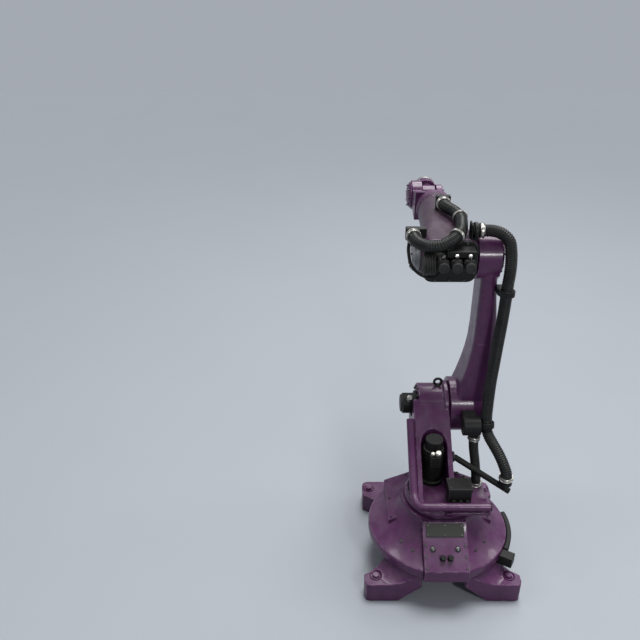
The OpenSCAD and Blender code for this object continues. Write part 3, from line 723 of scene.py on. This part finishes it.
@dataclass
class Assembly:
    """What sub-assemblies share: a body, the finishes and the ways to dress a solid or add a piece."""

    frame: dict[str, Any]
    finishes: Finishes
    body: Body

    def keep(self, piece: Piece, slot: Slot, body: Body | None = None) -> Piece:
        """Let a piece ride on the body."""
        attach(piece, (body or self.body).value)
        return piece

    def round_edges(self, node: str, slot: Slot, width: float, main: Material,
                    edge: Material | None = None) -> Piece:
        """Stand a copy with rounded edges in for a solid.

        The solid's triangles are joined, flat neighbours become one face, and a bevel rounds each edge that
        turns further than a set angle.

        Args:
            node: The solid's name.
            slot: Its material slot, which is not used.
            width: How far the rounding reaches.
            main: The finish of its faces.
            edge: The finish of its rounded edges, where it is another.

        Returns:
            The copy, which replaces the solid.
        """
        shell = bmesh.new()
        shell.from_mesh(self.frame["nodes"][node].data)
        bmesh.ops.remove_doubles(shell, verts=shell.verts, dist=WELD)
        bmesh.ops.dissolve_limit(shell, angle_limit=FLAT, verts=shell.verts, edges=shell.edges)
        mesh = bpy.data.meshes.new(node + "_dressed")
        shell.to_mesh(mesh)
        shell.free()
        for material in filter(None, (main, edge)):
            mesh.materials.append(material)
        mesh.shade_smooth()
        mesh.set_sharp_from_angle(angle=ROUNDED)
        piece = add_object(node + "_dressed", mesh)
        bevel = piece.modifiers.new("rounding", "BEVEL")
        bevel.width = width
        bevel.segments = ROUND_FACES
        bevel.limit_method = "ANGLE"
        bevel.angle_limit = ROUNDED
        bevel.use_clamp_overlap = False
        bevel.loop_slide = False
        bevel.miter_outer = "MITER_ARC"
        bevel.material = 1 if edge else -1
        piece.modifiers.new("even", "WEIGHTED_NORMAL").keep_sharp = True
        self.settle(piece, mesh, width)
        self.keep(piece, slot)
        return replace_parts(piece, node)

    def settle(self, piece: Piece, sharp: bpy.types.Mesh, width: float) -> None:
        """Fix a piece's modifiers into its mesh, and draw points that they threw off back to the solid.

        Args:
            piece: The piece with its modifiers.
            sharp: Its mesh before them.
            width: How far the rounding reaches, which tells a stray point.
        """
        corners = [vertex.co for vertex in sharp.vertices]
        tree = BVHTree.FromPolygons(corners, [tuple(face.vertices) for face in sharp.polygons])
        rounded = piece.evaluated_get(bpy.context.evaluated_depsgraph_get())
        done = bpy.data.meshes.new_from_object(rounded)
        strays = 0
        for vertex in done.vertices:
            near, _, _, gap = tree.find_nearest(vertex.co)
            if gap > STRAY * width:
                vertex.co = near
                strays += 1
        piece.modifiers.clear()
        piece.data = done
        log.info("dressed %s: %d faces, %d strays drawn back", piece.name, len(done.polygons), strays)

    def painted(self, node: str, width: float) -> Piece:
        """A painted casting with rubbed, rounded edges."""
        return self.round_edges(node, Slot.PAINT, width, self.finishes.paint, self.finishes.paint_edge)

    def dark(self, node: str, width: float) -> Piece:
        """A dark coated motor or bracket, its rounded edges in a lighter coat as a painted highlight."""
        return self.round_edges(node, Slot.MOTOR, width, self.finishes.motor, self.finishes.motor_painted_highlight)

    def moulded(self, node: str, width: float) -> Piece:
        """A black moulding."""
        return self.round_edges(node, Slot.PLASTIC, width, self.finishes.plastic)

    def turned(self, name: str, profile: Profile, places: Any, axes: Any, material: Material, slot: Slot,
               sides: int) -> Piece:
        """A turned shape at one or many places, in one mesh that rides on the body."""
        return self.keep(lathed(name, profile, places, axes, material, sides), slot)

    def screws(self, name: str, places: Any, axes: Any, radius: float, height: float) -> Piece:
        """Cap screws at places, all in one mesh."""
        head = scaled(SCREW_OUTLINE, radius, height)
        return self.turned(name, head, places, axes, self.finishes.screw, Slot.STEEL, 12)

    def fitting(self, name: str, place: Triple, axis: Triple, radius: float, length: float) -> Piece:
        """A plated plug with a knurled nut, by the middle of its foot and the way it points."""
        profile = scaled(PLUG_OUTLINE, radius, length)
        return self.keep(lathed(name, profile, place, axis, self.finishes.brass, 48, 24, 0.03), Slot.STEEL)


@dataclass
class Base(Assembly):
    """The round bell on four feet, its deck panels, its connector cover and the supply duct.

    A panel's spots are shares of the way from its inner to its outer edge, each with a Y. The cover's slopes
    are given by Y and Z of their ends, and the spots on them by X and by rows up the slope.
    """

    bolt_x: float = 0.345
    bolt_rows: Pair = (-0.268, 0.397)
    spot_z: float = 0.112
    panel_in: Pair = (0.122, 0.384)
    panel_out: Pair = (0.272, 0.318)
    panel_spots: tuple[Pair, ...] = ((0.88, -0.060), (0.88, 0.082), (0.88, 0.226), (0.20, 0.226))
    flank_spots: tuple[Triple, ...] = ((-0.2150, -0.1935, 0.2855), (-0.1604, -0.2494, 0.2804))
    flank_rises: tuple[Triple, ...] = ((-0.450, -0.404, 0.797), (-0.316, -0.491, 0.812))
    cover_top: Pair = (-0.188, 0.417)
    knee: Pair = (-0.240, 0.354)
    cover_edge: Pair = (-0.376, 0.260)
    plate_x: Triple = (-0.086, 0.0, 0.086)
    plate_rows: Pair = (0.016, 0.064)
    plate_t: float = 0.005
    rim_x: Pair = (-0.100, 0.100)
    rim_rows: Triple = (0.02, 0.075, 0.13)
    plug_x: Pair = (-0.066, 0.060)
    plug_row: float = 0.112
    seal_r: Triple = (0.150, 0.178, 0.1795)
    seal_z: Triple = (0.4202, 0.4215, 0.4235)

    def build(self) -> None:
        """Dress the base's solids and add its screws, plugs and seal."""
        self.painted("base_frame", 0.005)
        self.painted("deck_panels", 0.002)
        self.painted("connector_cover", 0.005)
        self.round_edges("cover_plate", Slot.GREY, 0.002, self.finishes.plate)
        self.moulded("cable_glands", 0.0015)
        self.moulded("supply_duct", 0.006)
        self.moulded("supply_block", 0.004)
        self.foot_bolts()
        self.panel_screws()
        self.cover_screws()
        self.seal()

    def foot_bolts(self) -> None:
        """Hexagon bolts on washers in the spot faces of the feet, painted over with the base."""
        places = [(x, y, self.spot_z) for x in (-self.bolt_x, self.bolt_x) for y in self.bolt_rows]
        washer = [(0.013, 0.0), (0.026, 0.0), (0.026, 0.003), (0.025, 0.004), (0.013, 0.004)]
        self.turned("foot_washers", washer, places, UP, self.finishes.paint, Slot.PAINT, 40)
        head = [(0.0, 0.004), (0.0195, 0.004), (0.0195, 0.016), (0.0165, 0.019), (0.0, 0.019)]
        self.turned("foot_bolts", head, places, UP, self.finishes.paint_edge, Slot.PAINT, 6)

    def panel_screws(self) -> None:
        """Screws at the free corners of the deck panels and on the bell's flank, square to the surface."""
        (x_in, z_in), (x_out, z_out) = self.panel_in, self.panel_out
        fall, run = z_in - z_out, x_out - x_in
        share, y = np.array(self.panel_spots).T
        places = np.stack([x_in + share * run, y, z_in - share * fall], axis=1)
        rises = np.tile([fall, 0.0, run], (len(places), 1))
        self.screws("panel_screws", both_sides(places), both_sides(rises), 0.007, 0.004)
        self.screws("deck_screws", both_sides(self.flank_spots), both_sides(self.flank_rises), 0.008, 0.005)

    def on_slope(self, low: Pair, high: Pair, spots: Iterable[Pair],
                 lift: float = 0.0) -> tuple[np.ndarray, np.ndarray]:
        """Places on a slope of the connector cover.

        A place is low + distance times the way up the slope + lift times the direction square to it.

        Args:
            low: Y and Z of the slope's foot.
            high: Y and Z of its top.
            spots: X and the distance up the slope, for each place.
            lift: Distance above the slope.

        Returns:
            The places, in rows, and the direction square to the slope.
        """
        way = unit(np.subtract(high, low))
        square = np.array([-way[1], way[0]])
        x, distance = np.array(list(spots)).T
        places = np.array(low) + distance[:, None] * way + lift * square
        return np.column_stack([x, places]), np.array([0.0, *square])

    def cover_screws(self) -> None:
        """Screws of the grey plate, screws along the cover's rims and two large blind plugs."""
        spots = product(self.plate_x, self.plate_rows)
        plate = self.on_slope(self.knee, self.cover_top, spots, self.plate_t)
        self.screws("plate_screws", *plate, 0.0045, 0.003)
        rims = self.on_slope(self.cover_edge, self.knee, product(self.rim_x, self.rim_rows))
        self.screws("cover_screws", *rims, 0.0065, 0.005)
        plugs = self.on_slope(self.cover_edge, self.knee, product(self.plug_x, [self.plug_row]))
        dome = [(0.015, 0.0), (0.015, 0.004), (0.012, 0.008), (0.007, 0.010), (0.0, 0.0105)]
        self.turned("cover_plugs", dome, *plugs, self.finishes.screw, Slot.STEEL, 24)

    def seal(self) -> None:
        """The rubber lip between the base and the turning column."""
        inner, outer, tip = self.seal_r
        foot, middle, top = self.seal_z
        lip = [(inner, foot), (outer, foot), (tip, middle), (outer, top), (inner, top), (inner, foot)]
        self.turned("slew_seal", lip, (0.0, 0.0, 0.0), UP, self.finishes.seal, Slot.PLASTIC, 96)


@dataclass
class Column(Assembly):
    """The turning column: casting, guard rail, slewing and shoulder motors, junction box and hose bracket.

    The hub is the middle of the shoulder's left face, and the niche is X and Y of the slewing motor in it.
    """

    flange_z: float = 0.465
    flange_r: float = 0.165
    flange_angles: tuple[float, ...] = (32, 48, 64, 150, 165, 180, 195, 210, 244, 258)
    hub: Triple = (-0.104, 0.350, 0.775)
    hub_r: float = 0.094
    niche: Pair = (-0.038, 0.082)
    rib_rise: Pair = (0.050, 0.190)
    rib_count: int = 8
    plug_back: float = 0.070
    plug_z: float = 0.678
    box_inset: float = 0.012
    nut_x: Triple = (0.030, 0.064, 0.098)
    nut_rise: float = 0.045
    nut_sunk: float = 0.0045

    def build(self) -> None:
        """Dress the column's solids and add its screws and plugs."""
        self.painted("column_casting", 0.006)
        self.painted("guard_rail", 0.002)
        self.moulded("guard_rail_cap", 0.003)
        for node in ("slew_motor", "shoulder_motor", "junction_box", "hose_bracket", "lifting_eye"):
            self.dark(node, 0.004 if node.endswith("motor") else 0.003)
        angles = np.radians(self.flange_angles)
        ring = np.stack([self.flange_r * np.cos(angles), self.flange_r * np.sin(angles),
                         np.full(len(angles), self.flange_z)], axis=1)
        self.screws("column_screws", ring, UP, 0.009, 0.010)
        self.screws("shoulder_screws", ring_of(self.hub, LEFT, self.hub_r, 12), LEFT, 0.007, 0.008)
        self.motor_plugs()
        self.box_screws()

    def motor_plugs(self) -> None:
        """Plugs of the slewing and shoulder motors, and ribs round the slewing motor."""
        x, y = self.niche
        rib = [(0.0535, 0.0), (0.0555, 0.001), (0.0555, 0.005), (0.0535, 0.006)]
        low, high = self.rib_rise
        heights = np.linspace(self.flange_z + low, self.flange_z + high, self.rib_count)
        self.turned("slew_motor_ribs", rib, [(x, y, z) for z in heights], UP, self.finishes.motor,
                    Slot.MOTOR, 64)
        back, leaning = y - self.plug_back, (0.0, -0.45, 0.9)
        self.fitting("slew_plug", (x + 0.012, back, self.plug_z), leaning, 0.015, 0.042)
        self.fitting("slew_plug_signal", (x - 0.016, back, self.plug_z), leaning, 0.010, 0.032)
        top = tuple(np.add(self.hub, (-0.045, -0.030, 0.044)))
        self.fitting("shoulder_plug", top, (0.0, -0.55, 0.83), 0.014, 0.036)

    def box_screws(self) -> None:
        """Lid screws and cable nuts of the junction box."""
        low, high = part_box("junction_box")
        inset = self.box_inset
        corners = [(x, y, high.z) for x in (low.x + inset, high.x - inset)
                   for y in (low.y + inset, high.y - inset)]
        self.screws("box_screws", corners, UP, 0.006, 0.004)
        nut = [(0.0, 0.0), (0.012, 0.0), (0.012, 0.012), (0.008, 0.016), (0.008, 0.022), (0.0, 0.022)]
        places = [(low.x + x, low.y + self.nut_sunk, low.z + self.nut_rise) for x in self.nut_x]
        self.turned("box_nuts", nut, places, BACK, self.finishes.plastic, Slot.PLASTIC, 6)


@dataclass(frozen=True)
class Hub:
    """The right face of a hub: its middle, its ring of screws, and the radius of the ring on its cap."""

    middle: Triple
    ring_r: float
    screw_count: int
    screw_r: float
    cap_ring_r: float


@dataclass
class LowerArm(Assembly):
    """The curved lower arm with its hubs, caps and hose clamps."""

    shoulder: Hub = Hub((0.268, 0.350, 0.775), 0.131, 16, 0.008, 0.098)
    elbow: Hub = Hub((0.237, 0.350, 1.665), 0.108, 14, 0.007, 0.080)
    cap_t: float = 0.014

    def build(self) -> None:
        """Dress the arm's solids and add the rings of screws on its hubs."""
        self.painted("lower_arm", 0.003)
        self.painted("shoulder_cap", 0.003)
        self.painted("elbow_cap", 0.003)
        self.moulded("hose_clamp_low", 0.004)
        self.moulded("hose_clamp_top", 0.002)
        for name, hub in (("shoulder", self.shoulder), ("elbow", self.elbow)):
            ring = ring_of(hub.middle, RIGHT, hub.ring_r, hub.screw_count)
            self.screws(f"{name}_hub_screws", ring, RIGHT, hub.screw_r, hub.screw_r + 0.001)
            face = tuple(np.add(hub.middle, (self.cap_t, 0.0, 0.0)))
            ring = ring_of(face, RIGHT, hub.cap_ring_r, 8, 22.5)
            self.screws(f"{name}_cap_screws", ring, RIGHT, 0.005, 0.005)


@dataclass
class Forearm(Assembly):
    """The forearm: housing, motor plate with three wrist motors, elbow drive and hose fittings.

    The housing is X and Z of its middle, and its half width and half height at the motor plate.
    """

    plate_y: float = 0.217
    motor_x: Triple = (-0.066, -0.004, 0.058)
    roll_z: float = 1.700
    motor_l: float = 0.122
    drive: Triple = (-0.190, 0.350, 1.665)
    drive_r: float = 0.060
    housing: tuple[float, float, float, float] = (-0.014, 1.678, 0.127, 0.105)
    rim_inset: float = 0.012
    rim_x: Triple = (-0.07, 0.0, 0.07)
    rim_z: Triple = (-0.055, 0.0, 0.055)
    fin_from: float = 0.006
    fin_step: float = 0.008

    def build(self) -> None:
        """Dress the forearm's solids and add screws and plugs."""
        self.round_edges("forearm_housing", Slot.PAINT, 0.006, self.finishes.paint_dusty,
                         self.finishes.paint_edge)
        for node in ("motor_plate", "roll_motor", "bend_motor", "turn_motor", "elbow_motor"):
            self.dark(node, 0.003)
        for node in ("motor_connector", "hose_holder_rear", "hose_bulkhead", "hose_socket"):
            self.moulded(node, 0.004)
        self.round_edges("elbow_drive", Slot.GREY, 0.004, self.finishes.drive)
        ring = ring_of(self.drive, LEFT, self.drive_r, 8, 22.5)
        self.screws("drive_screws", ring, LEFT, 0.006, 0.006)
        x, z, half_w, half_h = self.housing
        out, up = half_w - self.rim_inset, half_h - self.rim_inset
        sides = [(x + across, self.plate_y, z + rise) for across in (-out, out) for rise in self.rim_z]
        ends = [(x + across, self.plate_y, z + rise) for rise in (-up, up) for across in self.rim_x]
        self.screws("plate_rim_screws", sides + ends, BACK, 0.006, 0.006)
        self.motor_ends()

    def motor_ends(self) -> None:
        """End caps with a raised ring, fins and a plug on each wrist motor."""
        end = self.plate_y - self.motor_l
        cap = [(0.0, 0.0), (0.0245, 0.0), (0.0245, 0.003), (0.0215, 0.006), (0.0175, 0.006), (0.0165, 0.003),
               (0.009, 0.003), (0.0, 0.003)]
        places = [(x, end, self.roll_z) for x in self.motor_x]
        # the end rings take the lighter coat of the painted edge highlight
        self.turned("motor_end_rings", cap, places, BACK, self.finishes.motor_painted_highlight, Slot.MOTOR, 48)
        fin = [(0.0255, 0.0), (0.0275, 0.001), (0.0275, 0.004), (0.0255, 0.005)]
        fin_y = [end + self.fin_from + self.fin_step * k for k in range(3)]
        steps = [(x, y, self.roll_z) for x in self.motor_x for y in fin_y]
        self.turned("motor_end_fins", fin, steps, AHEAD, self.finishes.motor, Slot.MOTOR, 48)
        for number, x in enumerate(self.motor_x):
            top = (x, end + 0.045, self.roll_z + 0.027)
            self.fitting(f"motor_plug_{number}", top, (0.0, -0.35, 0.93), 0.009, 0.026)


@dataclass
class Wrist(Assembly):
    """The in-line wrist: rolling fork, bending hand and turning tool flange."""

    wrist_y: float = 1.170
    roll_z: float = 1.700
    dome_x: float = -0.1175
    dome_r: float = 0.062
    disc_x: float = 0.086
    disc_r: float = 0.040
    root_x: Pair = (-0.026, 0.026)
    root_y: float = 0.985
    root_rise: Pair = (-0.074, 0.074)

    def build(self) -> None:
        """Dress the wrist's solids and add its screws."""
        self.painted("wrist_fork", 0.0014)
        self.painted("wrist_drive_cover", 0.003)
        self.painted("wrist_bearing_cover", 0.003)
        dome = ring_of((self.dome_x, self.wrist_y, self.roll_z), LEFT, self.dome_r, 8)
        self.screws("drive_cover_screws", dome, LEFT, 0.0055, 0.006)
        disc = ring_of((self.disc_x, self.wrist_y, self.roll_z), RIGHT, self.disc_r, 6)
        self.screws("bearing_cover_screws", disc, RIGHT, 0.005, 0.005)
        root = [(x, self.root_y, self.roll_z + rise) for x in self.root_x for rise in self.root_rise]
        self.screws("fork_screws", root, AHEAD, 0.007, 0.007)
        hand = Assembly(self.frame, self.finishes, Body.WRIST_BEND)
        hand.painted("wrist_hand", 0.004)
        flange = Assembly(self.frame, self.finishes, Body.WRIST_TURN)
        flange.round_edges("tool_flange", Slot.STEEL, 0.0015, self.finishes.steel)


# The points that each hose passes through, in millimetres
ROUTES: dict[str, list[Triple]] = {
    "hose_low": [(322, -54, 582), (322, -54, 608), (309, -34, 650), (288, 0, 692), (262, 44, 728),
                 (242, 80, 756), (232, 104, 784), (230, 116, 830)],
    "feeder_hose": [(192, 34, 473.3), (192, 34, 503), (190, 48, 545), (185, 80, 603), (178, 106, 660),
                    (175, 114, 708), (175, 114, 744.7)],
    "hose_mid": [(230, 116, 830), (229, 122, 853), (231, 132, 891), (235, 150, 962), (240, 166, 1042),
                 (247, 176, 1140), (252, 181, 1229), (260, 190, 1340), (266, 199, 1447), (268, 203, 1500),
                 (269, 206, 1545)],
    "hose_top": [(269, 206, 1545), (269.4, 207, 1565), (272, 211, 1590), (275, 220, 1660), (271, 232, 1724),
                 (258, 242, 1776), (222, 256, 1808), (184, 261, 1820), (150, 262, 1822), (112, 262, 1822),
                 (84, 262, 1822)],
    "hose_loop": [(0, 629.7, 1832), (0, 604, 1832), (12, 570, 1830), (36, 518, 1828), (51, 462, 1826),
                  (53, 392, 1823), (42, 320, 1822), (28, 256, 1821), (4, 208, 1817), (-34, 170, 1804),
                  (-80, 154, 1788), (-124, 166, 1778), (-158, 196, 1776), (-180, 238, 1777),
                  (-188, 280, 1778), (-188, 309.7, 1778)],
    "motor_cable": [(-204, 330, 1751.7), (-204, 330, 1732), (-208, 312, 1711), (-207, 282, 1685),
                    (-200, 250, 1655), (-174, 220, 1628), (-140, 190, 1617), (-108, 164, 1621),
                    (-78, 150, 1643), (-66, 148, 1674)],
}


@dataclass
class HosePack(Assembly):
    """The hoses, their couplings and ties; two of the hoses cross the shoulder and one the elbow, and these
    three stay fixed where they are made.

    A tie is given by its share of the loop's length and its own length.
    """

    main: HoseSize = HoseSize(0.0298, 0.0105, 0.0030)
    feeder: HoseSize = HoseSize(0.0258, 0.008, 0.002)
    cable: HoseSize = HoseSize(0.0078, sides=12)
    ties: tuple[Pair, ...] = ((0.002, 0.026), (0.26, 0.014), (0.58, 0.014), (0.966, 0.026))
    tie_step: float = 0.002
    routes: dict[str, list[Triple]] = field(default_factory=lambda: {
        name: [(x / MILLIMETRES, y / MILLIMETRES, z / MILLIMETRES) for x, y, z in points]
        for name, points in ROUTES.items()})

    def build(self) -> None:
        """Make every hose and its metal parts."""
        self.hose("hose_mid", RIGHT, Body.LOWER_ARM)
        self.hose("hose_loop", UP, Body.FOREARM)
        self.hose("motor_cable", (0.6, 0.6, 0.5), Body.FOREARM)
        self.crossing("hose_low", (1.0, 0.3, 0.0), Body.COLUMN, Body.LOWER_ARM)
        self.crossing("feeder_hose", (1.0, 0.3, 0.0), Body.COLUMN, Body.LOWER_ARM)
        self.crossing("hose_top", AHEAD, Body.LOWER_ARM, Body.FOREARM)
        self.couplings()

    def corrugated(self, name: str, spare: Triple) -> Piece:
        """Make the hose or cable of one route.

        Args:
            name: The name of the route and of its solid.
            spare: A direction that the route never runs along.

        Returns:
            The hose, which replaces the solid.
        """
        size = {"motor_cable": self.cable, "feeder_hose": self.feeder}.get(name, self.main)
        skin = self.finishes.hose if size.pitch else self.finishes.seal
        piece = tube(name + "_run", self.routes[name], size, skin, spare)
        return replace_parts(piece, name)

    def hose(self, name: str, spare: Triple, body: Body) -> None:
        """A hose that moves with one body."""
        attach(self.corrugated(name, spare), body.value)

    def crossing(self, name: str, spare: Triple, first: Body, second: Body) -> None:
        """A hose between two bodies, left fixed where it is made."""
        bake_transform(self.corrugated(name, spare))

    def collar(self, name: str, place: Triple, axis: Triple, body: Body, radius: float,
               length: float) -> None:
        """A plated coupling ring round a hose, with a rolled rim at each end.

        Args:
            name: The piece's name.
            place: The middle of its first end.
            axis: The way the hose runs.
            body: The body that it rides on.
            radius: The hose's radius.
            length: Its length along the hose.
        """
        first = [(radius + proud, rise) for proud, rise in COUPLING_END]
        last = [(girth, length - rise) for girth, rise in reversed(first)]
        piece = lathed(name, first + last + first[:1], place, axis, self.finishes.brass, 48)
        self.keep(piece, Slot.STEEL, body)

    def couplings(self) -> None:
        """Ties along the loop, and couplings where a hose goes into a block."""
        path, heading, run = smooth_path(self.routes["hose_loop"], self.tie_step)
        for number, (share, length) in enumerate(self.ties):
            at = int(share * (len(run) - 1))
            self.collar(f"loop_tie_{number}", tuple(path[at]), tuple(heading[at]), Body.FOREARM,
                        self.main.radius, length)
        for name, place, axis, body, size, length in (
                ("rear_coupling", (0.116, 0.262, 1.822), RIGHT, Body.FOREARM, self.main, 0.020),
                ("bracket_coupling", (0.322, -0.054, 0.5825), UP, Body.COLUMN, self.main, 0.020),
                ("feeder_coupling", (0.192, 0.034, 0.4738), UP, Body.COLUMN, self.feeder, 0.022),
                ("feeder_top_coupling", (0.175, 0.114, 0.712), UP, Body.LOWER_ARM, self.feeder, 0.022)):
            self.collar(name, place, axis, body, size.radius, length)


@dataclass(frozen=True)
class Lamp:
    """A soft round lamp: where it hangs, what it points at, its width and its power in watts."""

    name: str
    place: Triple
    aim: Triple
    size: float
    power: float


@dataclass
class Studio:
    """Camera, pale floor and soft light."""

    focal_px: float = 700.0
    frame_px: float = 640.0
    film: float = 36.0
    pitch: float = math.radians(28.2)
    yaw: float = math.radians(-0.2)
    eye: Triple = (-0.626, -2.850, 3.010)
    floor_half: float = 14.0
    floor_z: float = -0.001
    floor_colours: tuple[Colour, Colour] = ((0.318, 0.338, 0.368), (0.330, 0.350, 0.381))
    sky_colour: Colour = (0.376, 0.403, 0.442)
    sky_light: float = 0.55
    sun: Triple = (0.4, 0.7, 4.0)
    sun_power: float = 3.0
    sun_angle: float = math.radians(30.0)
    lamps: tuple[Lamp, ...] = (
        Lamp("behind", (1.0, -3.0, 2.9), (0.1, 0.2, 1.2), 0.5, 34.0),
        Lamp("left", (-1.74, 0.33, 3.30), (-0.3, -0.26, 0.2), 0.7, 14.0),
        Lamp("right", (2.85, 0.57, 2.86), (0.3, -0.26, 0.2), 0.7, 16.0),
        Lamp("front", (1.0, 4.0, 5.2), (0.0, -0.3, 0.1), 2.0, 100.0),
    )

    def build(self) -> None:
        """Set up the view, the floor and the light."""
        self.camera()
        self.floor()
        self.backdrop()
        self.light()
        bpy.context.scene.view_settings.view_transform = "Standard"

    def camera(self) -> None:
        """A camera at the photograph's place, looking down along the arm from behind."""
        lens = bpy.data.cameras.new("camera")
        lens.sensor_width = self.film
        lens.lens = self.film * self.focal_px / self.frame_px
        level = math.cos(self.pitch)
        ahead = Vector((math.sin(self.yaw) * level, math.cos(self.yaw) * level, -math.sin(self.pitch)))
        right = Vector((math.cos(self.yaw), -math.sin(self.yaw), 0.0))
        up = right.cross(ahead)
        rows = [(right[k], up[k], -ahead[k], self.eye[k]) for k in range(3)]
        view = add_object("camera", lens)
        view.matrix_world = Matrix([*rows, (0.0, 0.0, 0.0, 1.0)])
        bpy.context.scene.camera = view

    def floor(self) -> None:
        """A wide pale floor with the faintest cloud."""
        graph = Graph("pale_floor")
        colour = graph.mix(graph.noise(1.1, 3.0), *self.floor_colours)
        material = graph.finish({"Base Color": colour, "Roughness": 0.9, "Specular IOR Level": 0.1})
        half = self.floor_half
        corners = [(x * half, y * half, self.floor_z) for x, y in ((-1, -1), (1, -1), (1, 1), (-1, 1))]
        mesh = bpy.data.meshes.new("floor")
        mesh.from_pydata(corners, [], [(0, 1, 2, 3)])
        mesh.materials.append(material)
        add_object("floor", mesh)

    def backdrop(self) -> None:
        """A pale sky for what the camera and the gloss see, over a weaker even one that lights the arm."""
        graph = Graph("sky", world=True)
        seen = graph.node("ShaderNodeLightPath", out="Is Camera Ray")
        for ray in ("Is Glossy Ray", "Is Transmission Ray"):
            seen = seen.most(graph.node("ShaderNodeLightPath", out=ray))
        strength = self.sky_light + seen * (1.0 - self.sky_light)
        sky = graph.node("ShaderNodeBackground", None, {"Color": self.sky_colour, "Strength": strength})
        graph.node("ShaderNodeOutputWorld", None, {"Surface": sky})
        bpy.context.scene.world = graph.owner

    def light(self) -> None:
        """A broad soft light from above and lamps for the gloss."""
        above = bpy.data.lights.new("above", "SUN")
        above.energy = self.sun_power
        above.angle = self.sun_angle
        self.hang(above, self.sun, (0.0, 0.0, 0.0))
        for lamp in self.lamps:
            light = bpy.data.lights.new(lamp.name, "AREA")
            light.shape = "DISK"
            light.size = lamp.size
            light.energy = lamp.power
            self.hang(light, lamp.place, lamp.aim)

    def hang(self, light: bpy.types.Light, place: Triple, aim: Triple) -> None:
        """Hang a light at a place and point it at another.

        Args:
            light: The light.
            place: Where it hangs.
            aim: What it points at.
        """
        lamp = add_object(light.name, light)
        lamp.location = place
        lamp.rotation_euler = (Vector(aim) - Vector(place)).to_track_quat("-Z", "Y").to_euler()


def write_sizes() -> None:
    """Bring the placements of all objects up to date."""
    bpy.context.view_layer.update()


def main() -> None:
    """Load the solids, set up the studio and dress the arm from the floor to the tool."""
    logging.basicConfig(level=logging.INFO, format="%(message)s")
    for item in list(bpy.data.objects):
        bpy.data.objects.remove(item)
    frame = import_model()
    Studio().build()
    finishes = Finishes.make()
    HosePack(frame, finishes, Body.FOREARM).build()
    Base(frame, finishes, Body.BASE).build()
    Column(frame, finishes, Body.COLUMN).build()
    LowerArm(frame, finishes, Body.LOWER_ARM).build()
    Forearm(frame, finishes, Body.FOREARM).build()
    Wrist(frame, finishes, Body.WRIST_ROLL).build()
    write_sizes()


if __name__ == "__main__":
    main()
